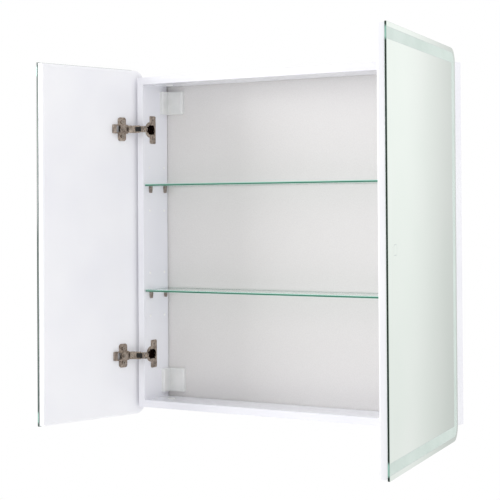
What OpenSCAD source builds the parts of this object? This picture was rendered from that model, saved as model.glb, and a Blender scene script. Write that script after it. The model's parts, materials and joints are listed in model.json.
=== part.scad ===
// Wall-hung bathroom cabinet with two mirror doors of unequal width.
// X runs to the right, Y into the wall and Z up. The origin is the middle of the
// cabinet on the wall plane, which is also the middle of its four wall screws.
// The doors are drawn standing open and turn shut about the upright hinge axes.

/* [Carcass] */
// Outside width of the carcass
carcass_w = 760; // [740:10:900]
// Outside height of the carcass
carcass_h = 760; // [740:10:900]
// Depth from the wall to the front edges
carcass_d = 115; // [112:1:130]
// Thickness of the side, top and bottom panels
panel_t = 16; // [16:1:18]
// Thickness of the back panel
back_t = 5; // [4:1:6]
// Space behind the back panel
back_gap = 12.5; // [12.5:0.5:14]

/* [Doors] */
// How far the doors reach past the carcass on every side
overhang = 20; // [18:1:22]
// Width of the left door
left_w = 299; // [260:1:340]
// Gap between the two doors when they are shut
door_gap = 2; // [2:0.5:4]
// Thickness of the lacquered board
board_t = 15; // [14:1:18]
// Rounding of the board's inner edges
board_r = 5; // [3:1:6]
// Thickness of the adhesive sheet behind the mirror
tape_t = 1; // [0.5:0.5:2]
// Thickness of the mirror glass
glass_t = 4; // [3:1:6]
// How far the glass reaches past its board
glass_lip = 2; // [1:0.5:3]
// Radius of the two corners on the hinge side
door_r = 30; // [20:1:40]
// Gap between a shut door and the carcass
shut_gap = 1.5; // [1.5:0.5:2.5]
// Angle at which the right door stands
right_open = 100.5; // [0:0.5:104]
// Angle at which the left door stands
left_open = 102.5; // [0:0.5:104]

/* [Light band] */
// Width of the frosted band in the mirror
band_w = 20; // [15:1:30]
// Distance from the glass edge to the band
band_in = 10; // [8:1:14]

/* [Shelves] */
// Thickness of the glass shelves
shelf_t = 5; // [4:1:6]
// Height of each pin row above and below the middle
shelf_row = 122; // [110:1:130]
// Distance between neighbouring pin rows
row_pitch = 50; // [32:2:64]
// Distance of the front pin holes from the front edges
pin_front = 24; // [20:1:37]
// Distance of the rear pin holes from the front edges
pin_rear = 81.5; // [75:0.5:84]

/* [Hinges] */
// Height of the hinges above and below the middle
hinge_row = 260; // [220:5:280]
// Distance of the cup centre from the front edge
cup_e = 26; // [25:0.5:28]
// Distance of the mounting plate from the hinge side of the door
plate_s = 71; // [68:1:74]

/* [Hidden] */

$fn = 48;
slip = 0.05;
LEFT = -1;
RIGHT = 1;

// Carcass
side_in = carcass_w / 2 - panel_t;
top_in = carcass_h / 2 - panel_t;
panel_mid = carcass_h / 2 - panel_t / 2;
groove = 6.5;
back_y = -back_gap - back_t;
seam = 2;

// Panel joints: distances from the front edges, and sizes of the fittings
dowel_e = [20, 90];
dowel_r = 4;
cam_e = 50;
cam_in = 40;
cam_r = 7.5;
cam_deep = 12.8;
cam_bolt_r = 3;

// Wall fixing
bracket_z = top_in - 39;
wall_screw_in = 26;
wall_screw_r = 3.25;
spacer_r = 9;
cover_h = 53;
cover_side = 30.5;
cover_back = 47.5;
cover_p = 9;
cover_wall = 1.6;
rib_pitch = 2.6;
rib_w = 1.2;
rib_h = 0.5;

// Shelf supports
pin_r = 2.5;
pin_deep = 10;
pin_rows = [for (s = [-1, 1], k = [-1, 0, 1]) s * shelf_row + k * row_pitch];
pin_places = [pin_front, pin_rear];
shelf_lift = 7;
shelf_setback = 4;

// Doors, drawn shut for the right-hand side
right_w = carcass_w + 2 * overhang - door_gap - left_w;
door_h = carcass_h + 2 * overhang;
door_edge = carcass_w / 2 + overhang;
inner_face = -carcass_d - shut_gap;
board_face = inner_face - board_t;
tape_face = board_face - tape_t;
glass_face = tape_face - glass_t;
channel_deep = 8;
diffuser_t = 3;

// Hinge axis, and the arm pin in door measures: s from the hinge side of the
// door, h above its inner face
axis_e = 8;
axis_in = 2;
axis_x = carcass_w / 2 - axis_in;
axis_y = axis_e - carcass_d;
pin_s = overhang + panel_t - 1;
pin_h = 37.5 + shut_gap;
arm_x = door_edge - pin_s;
arm_y = inner_face + pin_h;

// Links: they turn 0.35 times as far again as the door does
link_gain = 0.35;
link_len = 25.5;
link_shut = 14.4;
link_bow = 2.2;
link_t = 1.5;
cup_body_r = 17.4;
cup_deep = 11.8;
cup_floor = 0.7;
arm_half = 8.5;
arm_in = 5.6;
cheek_t = 1.4;
arm_screw_s = 75;
flange_t = 1.6;

// A solid drawn for the right side, or its mirror image on the left
module on_side(side) {
    if (side > 0) children();
    else mirror([1, 0, 0]) children();
}

// Stands a piece of the right door open by the given angle
module opened(angle) {
    translate([axis_x, axis_y, 0]) rotate([0, 0, angle]) translate([-axis_x, -axis_y, 0]) children();
}

function open_of(side) = side > 0 ? right_open : left_open;
function width_of(side) = side > 0 ? right_w : left_w;

// Both hinges of one door
module at_hinges() {
    for (z = [-hinge_row, hinge_row]) translate([0, 0, z]) children();
}

// Rod along +X or +Y from the origin
module rod_x(r, l) { rotate([0, 90, 0]) cylinder(r = r, h = l); }
module rod_y(r, l) { rotate([-90, 0, 0]) cylinder(r = r, h = l); }

// Flat shape in the X-Z plane, given thickness t towards +Y
module plate_xz(t) { translate([0, t, 0]) rotate([90, 0, 0]) linear_extrude(t) children(); }

// Rectangle with chosen corner radii, centred on the origin
module soft_rect(w, h, r) {
    square([w - 2 * r, h], center = true);
    square([w, h - 2 * r], center = true);
    for (x = [-1, 1], y = [-1, 1]) translate([x * (w / 2 - r), y * (h / 2 - r)]) circle(r);
}

// Screw with a countersunk cross-head, its head face at the origin and its
// shank towards -Z
module csk_screw(head_r, shank_r, l) {
    difference() {
        union() {
            translate([0, 0, -head_r + shank_r]) cylinder(r1 = shank_r, r2 = head_r, h = head_r - shank_r);
            translate([0, 0, -l]) cylinder(r = shank_r, h = l - 0.5);
        }
        cross_slot(head_r);
    }
}

// Screw with a low cylindrical head standing on the origin
module pan_screw(head_r, head_h, shank_r, l) {
    difference() {
        union() {
            cylinder(r = head_r, h = head_h);
            translate([0, 0, -l]) cylinder(r = shank_r, h = l + 0.5);
        }
        translate([0, 0, head_h]) cross_slot(head_r);
    }
}

// Cross recess cut down from the origin
module cross_slot(head_r) {
    for (a = [0, 90]) rotate([0, 0, a])
        translate([-head_r * 0.6, -head_r * 0.13, -head_r * 0.3]) cube([head_r * 1.2, head_r * 0.26, head_r]);
}

// ---------------------------------------------------------------- carcass

module side_panel(side) {
    color("white") on_side(side) difference() {
        translate([side_in, -carcass_d, -carcass_h / 2]) cube([panel_t, carcass_d, carcass_h]);
        translate([side_in - 1, back_y - seam, -top_in - groove]) back_slot_side();
        at_hinges() translate([side_in - 1, cup_e - carcass_d, 0]) rod_x(cup_body_r + 0.1, 13);
        at_hinges() for (z = [-22.5, 22.5])
            translate([side_in - 1, cup_e + 9.5 - carcass_d, z]) rod_x(1.8, 14);
        for (z = pin_rows, e = pin_places) translate([side_in - 1, e - carcass_d, z]) rod_x(pin_r, pin_deep + 1);
        for (s = [-1, 1]) {
            for (e = dowel_e) translate([side_in - 1, e - carcass_d, s * panel_mid]) rod_x(dowel_r, 11.2);
            translate([side_in - 1, cam_e - carcass_d, s * panel_mid]) rod_x(cam_bolt_r, 11.2);
            for (z = [-13, 13])
                translate([side_in - 1, back_y - 15, s * bracket_z + z]) rod_x(1.8, 13);
        }
    }
}

// Slot for the back panel in a side, and in the top or bottom
module back_slot_side() { cube([groove + 1, back_t + seam + 0.2, 2 * (top_in + groove)]); }
module back_slot_level() { cube([2 * side_in + 2, back_t + seam + 0.2, groove + 1]); }

// The top panel, or the bottom panel as its mirror image
module level_panel() {
    difference() {
        translate([-side_in, -carcass_d, top_in]) cube([2 * side_in, carcass_d, panel_t]);
        translate([-side_in - 1, back_y - seam, top_in - 1]) back_slot_level();
        for (side = [LEFT, RIGHT]) on_side(side) {
            for (e = dowel_e) translate([side_in - 20.2, e - carcass_d, panel_mid]) rod_x(dowel_r, 22);
            translate([side_in - cam_in, cam_e - carcass_d, panel_mid]) rod_x(cam_bolt_r + 0.6, cam_in + 1);
            translate([side_in - cam_in, cam_e - carcass_d, top_in - 1]) cylinder(r = cam_r, h = cam_deep + 1);
        }
    }
}

module top_panel() { color("white") level_panel(); }
module bottom_panel() { color("white") mirror([0, 0, 1]) level_panel(); }

module back_panel() {
    reach_x = side_in + groove - 0.3;
    reach_z = top_in + groove - 0.3;
    color("whitesmoke") difference() {
        translate([-reach_x, back_y, -reach_z]) cube([2 * reach_x, back_t, 2 * reach_z]);
        for (x = [-1, 1], z = [-1, 1])
            translate([x * (side_in - wall_screw_in), back_y - 1, z * bracket_z]) rod_y(wall_screw_r, back_t + 2);
        translate([gland_x, back_y - 1, gland_z]) rod_y(8, back_t + 2);
        for (x = driver_screw_x) translate([x, back_y + 1.5, driver_z]) rod_y(1.5, back_t);
    }
}

module assembly_dowels() {
    color("burlywood") for (side = [LEFT, RIGHT], z = [-1, 1], e = dowel_e)
        on_side(side) translate([side_in - 20, e - carcass_d, z * panel_mid]) rod_x(dowel_r - slip, 30);
}

module cam_bolts() {
    color("silver") for (side = [LEFT, RIGHT], z = [-1, 1])
        on_side(side) translate([side_in - cam_in + 1, cam_e - carcass_d, z * panel_mid]) {
            rod_x(cam_bolt_r - slip, cam_in + 9);
            rod_x(cam_bolt_r + 0.4, 2.5);
        }
}

module cam_housings() {
    color("silver") for (side = [LEFT, RIGHT], up = [0, 1])
        on_side(side) mirror([0, 0, 1 - up]) translate([side_in - cam_in, cam_e - carcass_d, top_in + 1.2])
            difference() {
                cylinder(r = cam_r - slip, h = 11.4);
                translate([-1, 0, panel_t / 2 - 1.2]) rod_x(cam_bolt_r + 0.6, cam_r + 2);
                for (a = [0, 90]) rotate([0, 0, a]) translate([-4, -0.6, -1]) cube([8, 1.2, 3]);
            }
}

module cam_cover_caps() {
    color("white") for (side = [LEFT, RIGHT], up = [0, 1])
        on_side(side) mirror([0, 0, 1 - up]) translate([side_in - cam_in, cam_e - carcass_d, top_in]) {
            translate([0, 0, -1.2]) cylinder(r1 = 7.6, r2 = 8.5, h = 1.2);
            cylinder(r = cam_r - 0.3, h = 1.1);
        }
}

// ---------------------------------------------------------------- shelves

module glass_shelf(row) {
    front = shelf_setback - carcass_d;
    color([0.6, 0.85, 0.78, 0.5]) translate([0, front, row + shelf_lift])
        linear_extrude(shelf_t) translate([0, (back_y - 1.5 - front) / 2])
            soft_rect(2 * side_in - 2, back_y - 1.5 - front, 2);
}

// Die-cast support: a stud in the panel and a block with a flat top and a
// round bottom
module shelf_support() {
    color("rosybrown") {
        rod_x(pin_r - slip, pin_deep - 0.5);
        translate([-6.5, 0, 0]) rotate([90, 0, 90]) linear_extrude(6.5) {
            polygon([[-3.2, shelf_lift], [3.2, shelf_lift], [3.2, 2], [2, -6.5], [-2, -6.5], [-3.2, 2]]);
            translate([0, -6.5]) circle(2);
        }
    }
}

module shelf_supports(row) {
    for (side = [LEFT, RIGHT], e = pin_places)
        on_side(side) translate([side_in, e - carcass_d, row]) shelf_support();
}

module spare_hole_plugs() {
    color("white") for (side = [LEFT, RIGHT], s = [-1, 1], k = [-1, 1], e = pin_places)
        on_side(side) translate([side_in, e - carcass_d, s * shelf_row + k * row_pitch]) {
            rod_x(pin_r - slip, 7);
            translate([-1, 0, 0]) rotate([0, 90, 0]) cylinder(r1 = 2.7, r2 = 3.4, h = 1);
        }
}

// ---------------------------------------------------------------- wall fixing

// Repeats the upper right corner in all four corners
module each_corner() {
    for (side = [LEFT, RIGHT], up = [0, 1]) on_side(side) mirror([0, 0, 1 - up]) children();
}

module wall_brackets() {
    color("silver") each_corner() translate([side_in, back_y, bracket_z]) difference() {
        union() {
            translate([-2, -24, -20]) cube([2, 24, 40]);
            translate([-40, -2, -20]) cube([40, 2, 40]);
        }
        translate([-wall_screw_in, -3, 0]) rod_y(wall_screw_r, 4);
        for (z = [-13, 13]) translate([-3, -15, z]) rod_x(1.8, 4);
    }
}

module bracket_screws() {
    color("silver") each_corner() for (z = [-13, 13])
        translate([side_in - 2, back_y - 15, bracket_z + z]) rotate([0, -90, 0]) pan_screw(3.5, 2.2, 1.75, 13);
}

module wall_spacers() {
    color("gainsboro") each_corner() translate([side_in - wall_screw_in, -back_gap, bracket_z]) difference() {
        rod_y(spacer_r, back_gap);
        translate([0, -1, 0]) rod_y(wall_screw_r, back_gap + 2);
    }
}

// L-shaped outline of a corner cover, run over the ribs
module cover_outline() {
    difference() {
        polygon([[0, 0], [0, -cover_side], [-cover_p + 2, -cover_side], [-cover_p, -cover_side + 2],
            [-cover_p, -cover_p], [-cover_back + 2, -cover_p], [-cover_back, -cover_p + 2], [-cover_back, 0]]);
        translate([-cover_p + cover_wall, -cover_side + cover_wall])
            square([cover_p, cover_side]);
        translate([-cover_back + cover_wall, -cover_p + cover_wall]) square([cover_back, cover_p]);
    }
}

// Upright ribs on the two faces of a cover
module cover_ribs() {
    for (y = [-cover_side + 4 : rib_pitch : -cover_p - 2])
        translate([-cover_p - rib_h, y - rib_w / 2]) square([rib_h + 0.2, rib_w]);
    for (x = [-cover_back + 4 : rib_pitch : -cover_p - 2])
        translate([x - rib_w / 2, -cover_p - rib_h]) square([rib_w, rib_h + 0.2]);
}

module corner_cover(side, up) {
    color("gainsboro") on_side(side) mirror([0, 0, 1 - up]) translate([side_in, back_y, bracket_z]) {
        translate([0, 0, -cover_h / 2]) linear_extrude(cover_h) cover_outline();
        translate([0, 0, -cover_h / 2 + 3]) linear_extrude(cover_h - 6) cover_ribs();
        for (z = [-cover_h / 2, cover_h / 2 - cover_wall]) translate([0, 0, z]) {
            translate([-cover_p + 1, -cover_side + 1, 0]) cube([cover_p - 1, cover_side - 1, cover_wall]);
            translate([-cover_back + 1, -cover_p + 1, 0]) cube([cover_back - 1, cover_p - 1, cover_wall]);
        }
    }
}

// ---------------------------------------------------------------- light supply

driver_w = 160;
driver_h = 42;
driver_t = 11;
driver_x = 190;
driver_z = 280;
driver_screw_x = [driver_x - driver_w / 2 - 6, driver_x + driver_w / 2 + 6];
gland_x = 318;
gland_z = 280;

// Slim converter box with an ear at each end
module led_driver() {
    color("white") difference() {
        union() {
            translate([driver_x, -back_gap, driver_z]) plate_xz(driver_t) soft_rect(driver_w, driver_h, 4);
            translate([driver_x, -back_gap, driver_z]) plate_xz(2.5) soft_rect(driver_w + 26, 14, 4);
        }
        for (x = driver_screw_x) translate([x, -back_gap - 1, driver_z]) rod_y(1.8, 5);
        translate([driver_x + driver_w / 2 - 6, -back_gap + 5.5, driver_z + 12]) rod_x(3, 10);
        translate([driver_x - driver_w / 2 - 4, -back_gap + 5.5, driver_z + 12]) rod_x(3, 10);
    }
}

module driver_screws() {
    color("silver") for (x = driver_screw_x)
        translate([x, -back_gap + 2.5, driver_z]) rotate([-90, 0, 0]) pan_screw(3, 1.8, 1.45, 5.5);
}

// Strain relief where the supply lead enters the driver
module cable_gland() {
    color("dimgray") translate([driver_x - driver_w / 2 - 9, -back_gap + 5.5, driver_z + 12]) difference() {
        union() {
            rod_x(4.6, 9);
            translate([5, 0, 0]) rod_x(2.95, 9);
        }
        translate([-1, 0, 0]) rod_x(2, 20);
    }
}

// Rubber ring in the back panel for the door lead
module cable_grommet() {
    color("dimgray") translate([gland_x, back_y, gland_z]) difference() {
        union() {
            rod_y(7.95, back_t);
            translate([0, -1.5, 0]) rod_y(10, 1.5);
            translate([0, back_t, 0]) rod_y(10, 1.5);
        }
        translate([0, -2, 0]) rod_y(5, back_t + 4);
    }
}

// ---------------------------------------------------------------- hinges

// Hinge frame on the side panel: x towards the inside of the cabinet from the
// panel face, y back from the front edge
module cup_frame(side) {
    on_side(side) at_hinges() translate([side_in, -carcass_d, 0]) mirror([1, 0, 0]) children();
}

// Hollow of a cup: a slot for the links in front, a wide part for the arm, and
// a notch in the front wall where the links come out when the door is open
module cup_hollow() {
    floor_x = cup_floor - cup_deep;
    translate([floor_x, 9.9, -5.5]) cube([20, 20, 11]);
    translate([-1.8, 5, -5.5]) cube([10.5, 10, 11]);
    translate([-7.5, 14, -7]) cube([17, 10, 14]);
    intersection() {
        translate([floor_x, cup_e, 0]) rod_x(16.6, 20);
        translate([floor_x, 19, -11]) cube([20, 30, 22]);
    }
}

module hinge_cups(side) {
    color("rosybrown") cup_frame(side) difference() {
        union() {
            translate([-cup_deep, cup_e, 0]) rod_x(cup_body_r, cup_deep + 0.1);
            translate([0, cup_e, 0]) rod_x(18, flange_t);
            translate([0, cup_e + 10, 0]) rotate([90, 0, 90]) linear_extrude(flange_t) soft_rect(22, 64, 3);
        }
        cup_hollow();
        for (z = [-22.5, 22.5]) translate([0, cup_e + 9.5, z]) {
            translate([-1, 0, 0]) rod_x(1.8, 4);
            rotate([0, 90, 0]) cylinder(r1 = 1.8, r2 = 3.4, h = flange_t);
        }
    }
}

module cup_screws(side) {
    color("silver") cup_frame(side) for (z = [-22.5, 22.5])
        translate([flange_t, cup_e + 9.5, z]) rotate([0, 90, 0]) csk_screw(3.35, 1.75, 14);
}

// Door frame of one hinge: x from the hinge side of the door, y above its
// inner face, standing open
module arm_frame(side) {
    on_side(side) opened(open_of(side)) at_hinges()
        translate([door_edge, inner_face, 0]) mirror([1, 0, 0]) children();
}

module mounting_plates(side) {
    color("rosybrown") arm_frame(side) difference() {
        union() {
            translate([plate_s, 0, 0]) plate_xz(2.5) soft_rect(23, 54, 6);
            translate([(57 + 99) / 2, 0, 0]) plate_xz(6.5) soft_rect(42, 20.5, 2);
        }
        translate([55, -1, -8.7]) cube([42.5, 6, 17.4]);
        translate([83.5, 0, -8]) cube([7.5, 9, 16]);
        for (z = [-16, 16]) translate([plate_s, -1, z]) rod_y(2.3, 5);
    }
}

module plate_screws(side) {
    color("silver") arm_frame(side) for (z = [-16, 16])
        translate([plate_s, 2.5, z]) rotate([-90, 0, 0]) pan_screw(4.2, 2.2, 2.2, 11);
}

// Side view of an arm cheek: flat over the plate, then up to the pin
module cheek_outline() {
    difference() {
        union() {
            polygon([[83, 6.7], [83, 10.5], [58, 10.5], [51, 16.5], [42.5, 32], [38.1, 40.2],
                [32, 40.2], [32, 36.8], [38.6, 23.5], [47, 9.5], [52, 6.7]]);
            translate([pin_s, pin_h]) circle(3.4);
        }
        translate([pin_s, pin_h]) circle(1.55 + 0.02);
    }
}

// Skin on the outer side of an arm, between the cheeks
module arm_skin() {
    polygon([[83, 9], [83, 10.5], [58, 10.5], [51, 16.5], [48.2, 21.7], [46.9, 20.9],
        [49.8, 15.5], [57.4, 9]]);
    polygon([[41.2, 34.5], [39, 38.2], [37.7, 37.4], [39.9, 33.7]]);
}

// Outline of the arm's outer flanges, which end before the pin
module flange_outline() {
    polygon([[83, 6.7], [83, 10.5], [58, 10.5], [51, 16.5], [43.6, 30], [39.6, 27.6],
        [41, 22.5], [49, 9.5], [53, 6.7]]);
}

module hinge_arms(side) {
    color("rosybrown") arm_frame(side) {
        for (z = [-arm_in - cheek_t, arm_in]) translate([0, 0, z]) linear_extrude(cheek_t) cheek_outline();
        for (z = [-arm_half, arm_in + cheek_t])
            translate([0, 0, z]) linear_extrude(arm_half - arm_in - cheek_t) flange_outline();
        difference() {
            translate([0, 0, -arm_half]) linear_extrude(2 * arm_half) intersection() {
                arm_skin();
                translate([43.4, 0]) square([60, 40]);
            }
            translate([arm_screw_s, 5, 0]) rod_y(2.1, 8);
            slope_place() rotate([-90, 0, 0]) translate([0, 0, -4]) cylinder(r = 1.45, h = 8);
            translate([59.2, 8, -4.5]) cube([3, 4, 9]);
        }
        translate([0, 0, -arm_in - cheek_t]) linear_extrude(2 * (arm_in + cheek_t)) intersection() {
            arm_skin();
            translate([30, 28]) square([14, 14]);
        }
    }
}

// Middle of the arm's sloping face, turned square to it
module slope_place() { translate([54.5, 13.5, 0]) rotate([0, 0, -40.6]) children(); }

module adjusting_screws(side) {
    color("silver") arm_frame(side) {
        translate([arm_screw_s, 10.5, 0]) rotate([-90, 0, 0]) pan_screw(3.8, 1.2, 2.05, 3.4);
        slope_place() rotate([-90, 0, 0]) pan_screw(2.6, 1.2, 1.4, 2);
    }
}

// Black nylon block between the cheeks, behind the arm's window, which seats
// the closing spring
module spring_blocks(side) {
    color("black") arm_frame(side) translate([0, 0, slip - arm_in]) linear_extrude(2 * (arm_in - slip))
        polygon([[50.5, 11], [49.5, 15.7], [41.6, 30.1], [40.4, 32.4], [38.7, 31.5], [38.9, 26.2],
            [42.6, 19], [47.5, 11]]);
}

module arm_pins(side) {
    color("silver") arm_frame(side) translate([pin_s, pin_h, -7.3]) cylinder(r = 1.55, h = 14.6);
}

// Closing springs: a few turns of wire on the arm pin at each side of the link
module hinge_springs(side) {
    color("silver") arm_frame(side) translate([pin_s, pin_h, 0])
        for (z = [-4.9, -4.1, 4.1, 4.9]) translate([0, 0, z])
            rotate_extrude() translate([2.05, 0]) circle(0.38, $fn = 16);
}

// Link frame: origin on the arm pin, x along the link towards the cup
module link_frame(side) {
    on_side(side) opened(open_of(side)) at_hinges() translate([arm_x, arm_y, 0])
        rotate([0, 0, link_gain * open_of(side)]) rotate([0, 0, link_shut - 90]) children();
}

// Bowed strap of the given thickness, from one place along the link to another
module strap(from, to, lift, t) {
    half = link_len / 2;
    bow_r = (half * half + link_bow * link_bow) / (2 * link_bow);
    intersection() {
        translate([half, link_bow - bow_r + lift]) difference() {
            circle(bow_r + t / 2, $fn = 96);
            circle(bow_r - t / 2, $fn = 96);
        }
        translate([from, -2]) square([to - from, link_bow + lift + 6]);
    }
}

module hinge_links(side) {
    color("tan") link_frame(side) difference() {
        union() {
            translate([0, 0, -3.2]) linear_extrude(6.4) strap(0, 5, 0, link_t);
            translate([0, 0, -5]) linear_extrude(10) strap(4, link_len, 0, link_t);
            translate([0, 0, -6.5]) linear_extrude(13) strap(8, 16, 0, link_t);
            translate([0, 0, -3.2]) cylinder(r = 2.9, h = 6.4);
            translate([link_len, 0, -5]) cylinder(r = 1.8, h = 10);
            translate([0, 0, -3]) linear_extrude(6) strap(3.5, 19.5, 2.4, 1.3);
            translate([3.5, 1, -3]) cube([2, 3, 6]);
            translate([17.9, 0.8, -3]) cube([1.6, 3, 6]);
        }
        translate([0, 0, -6]) cylinder(r = 1.55 + 0.07, h = 12);
        translate([link_len, 0, -6]) cylinder(r = 1.1 + 0.01, h = 12);
    }
}

module cup_pins(side) {
    color("silver") link_frame(side) translate([link_len, 0, -5.3]) cylinder(r = 1.1, h = 10.6);
}

// ---------------------------------------------------------------- doors

// Flat outline of the right or left door, shrunk by a lip on three sides;
// x from the hinge side, rounded corners there
module door_outline(w, lip) {
    h = door_h - 2 * lip;
    r = door_r - lip;
    translate([r, -h / 2]) square([w - lip - r, h]);
    translate([0, -h / 2 + r]) square([w / 2, h - 2 * r]);
    for (z = [-1, 1]) translate([r, z * (h / 2 - r)]) circle(r, $fn = 72);
}

// C-shaped band, open towards the free edge of the door: outer distance from
// the glass edge, width, and its two ends short of the free edge by stop
module band_outline(w, inset, width, stop) {
    difference() {
        band_window(w - stop, inset, door_r - inset);
        band_window(w, inset + width, 3);
    }
}

module band_window(x_end, inset, r) {
    h = door_h - 2 * inset;
    translate([inset + r, -h / 2]) square([x_end - inset - r, h]);
    translate([inset, -h / 2 + r]) square([50, h - 2 * r]);
    for (z = [-1, 1]) translate([inset + r, z * (h / 2 - r)]) circle(r);
}

// Door frame without the hinges: x from the hinge side, y above the inner face
module door_frame(side) {
    on_side(side) opened(open_of(side)) translate([door_edge, inner_face, 0]) mirror([1, 0, 0]) children();
}

sensor_in = 46;
band_stop = 12;

// Cutter that rounds one long edge: the space between a square corner and a
// quarter circle, for an edge at the origin that faces +X and +Y
module edge_round() {
    difference() {
        translate([-board_r, -board_r]) square(board_r + 1);
        translate([-board_r, -board_r]) circle(board_r);
    }
}

// Rounds the edges of the inner face all round the board
module board_rounding(w) {
    h = door_h / 2 - glass_lip;
    r = door_r - glass_lip;
    translate([w - glass_lip, 0, -h - 1]) linear_extrude(2 * h + 2) edge_round();
    translate([0, 0, r - h]) linear_extrude(2 * (h - r)) mirror([1, 0]) edge_round();
    for (up = [0, 1]) mirror([0, 0, up]) {
        translate([r, 0, h]) rotate([90, 0, 90]) linear_extrude(w - r + 1) edge_round();
        translate([r, 0, h - r]) intersection() {
            rotate([-90, 0, 0]) rotate_extrude($fn = 72) translate([r, 0]) edge_round();
            translate([-r - 2, -board_t, 0]) cube([r + 2, 2 * board_t, r + 2]);
        }
    }
}

module door_board(side) {
    w = width_of(side);
    color("white") door_frame(side) difference() {
        translate([0, -board_t, 0]) plate_xz(board_t) door_outline(w, glass_lip);
        board_rounding(w);
        translate([0, -board_t - 1, 0]) plate_xz(channel_deep + 1)
            band_outline(w, band_in - 0.5, band_w + 1, band_stop);
        at_hinges() for (z = [-16, 16]) translate([plate_s, -9, z]) rod_y(2.25, 10);
        if (side > 0) translate([w - sensor_in, -board_t - 1, 0]) plate_xz(5) soft_rect(30, 30, 3);
    }
}

module mirror_tape(side) {
    w = width_of(side);
    color("white") door_frame(side) difference() {
        translate([0, -board_t - tape_t, 0]) plate_xz(tape_t) door_outline(w, glass_lip);
        translate([0, -board_t - tape_t - 1, 0]) plate_xz(tape_t + 2)
            band_outline(w, band_in - 0.5, band_w + 1, band_stop);
        if (side > 0) translate([w - sensor_in, -board_t - tape_t - 1, 0]) plate_xz(tape_t + 2)
            soft_rect(30, 30, 3);
    }
}

module mirror_glass(side) {
    color("lightcyan") door_frame(side)
        translate([0, glass_face - inner_face, 0]) plate_xz(glass_t) door_outline(width_of(side), 0);
}

// Acrylic strip that spreads the light behind the frosted band
module light_diffuser(side) {
    color("azure") door_frame(side) translate([0, -board_t - tape_t, 0]) plate_xz(diffuser_t)
        band_outline(width_of(side), band_in, band_w, band_stop + 0.5);
}

module led_strip(side) {
    color("lemonchiffon") door_frame(side) translate([0, -board_t + channel_deep - 1.5, 0]) plate_xz(1.5)
        band_outline(width_of(side), band_in + 5, band_w - 10, band_stop + 4);
}

// Capacitive switch board behind the mirror
module touch_sensor() {
    color("seagreen") door_frame(RIGHT) translate([right_w - sensor_in, -board_t - tape_t, 0]) {
        plate_xz(1.6) soft_rect(26, 26, 2);
        translate([0, 1.6, 6]) plate_xz(2) square([10, 5], center = true);
        translate([-4, 1.6, -5]) plate_xz(1.2) square([5, 5], center = true);
    }
}

side_panel(LEFT);  // left_side_panel
side_panel(RIGHT);  // right_side_panel
top_panel();
bottom_panel();
back_panel();
assembly_dowels();
cam_bolts();
cam_housings();
cam_cover_caps();
glass_shelf(shelf_row);  // upper_glass_shelf
glass_shelf(-shelf_row);  // lower_glass_shelf
shelf_supports(shelf_row);  // upper_shelf_supports
shelf_supports(-shelf_row);  // lower_shelf_supports
spare_hole_plugs();
wall_brackets();
bracket_screws();
wall_spacers();
corner_cover(LEFT, 1);  // upper_left_corner_cover
corner_cover(RIGHT, 1);  // upper_right_corner_cover
corner_cover(LEFT, 0);  // lower_left_corner_cover
corner_cover(RIGHT, 0);  // lower_right_corner_cover
led_driver();
driver_screws();
cable_gland();
cable_grommet();
hinge_cups(LEFT);  // left_hinge_cups
cup_screws(LEFT);  // left_cup_screws
hinge_links(LEFT);  // left_hinge_links
cup_pins(LEFT);  // left_cup_pins
hinge_arms(LEFT);  // left_hinge_arms
arm_pins(LEFT);  // left_arm_pins
hinge_springs(LEFT);  // left_hinge_springs
mounting_plates(LEFT);  // left_mounting_plates
plate_screws(LEFT);  // left_plate_screws
adjusting_screws(LEFT);  // left_adjusting_screws
door_board(LEFT);  // left_door_board
mirror_tape(LEFT);  // left_mirror_tape
mirror_glass(LEFT);  // left_mirror
light_diffuser(LEFT);  // left_light_diffuser
led_strip(LEFT);  // left_led_strip
spring_blocks(LEFT);  // left_spring_blocks
hinge_cups(RIGHT);  // right_hinge_cups
cup_screws(RIGHT);  // right_cup_screws
hinge_links(RIGHT);  // right_hinge_links
cup_pins(RIGHT);  // right_cup_pins
hinge_arms(RIGHT);  // right_hinge_arms
arm_pins(RIGHT);  // right_arm_pins
hinge_springs(RIGHT);  // right_hinge_springs
mounting_plates(RIGHT);  // right_mounting_plates
plate_screws(RIGHT);  // right_plate_screws
adjusting_screws(RIGHT);  // right_adjusting_screws
door_board(RIGHT);  // right_door_board
mirror_tape(RIGHT);  // right_mirror_tape
mirror_glass(RIGHT);  // right_mirror
light_diffuser(RIGHT);  // right_light_diffuser
led_strip(RIGHT);  // right_led_strip
spring_blocks(RIGHT);  // right_spring_blocks
touch_sensor();
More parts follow.
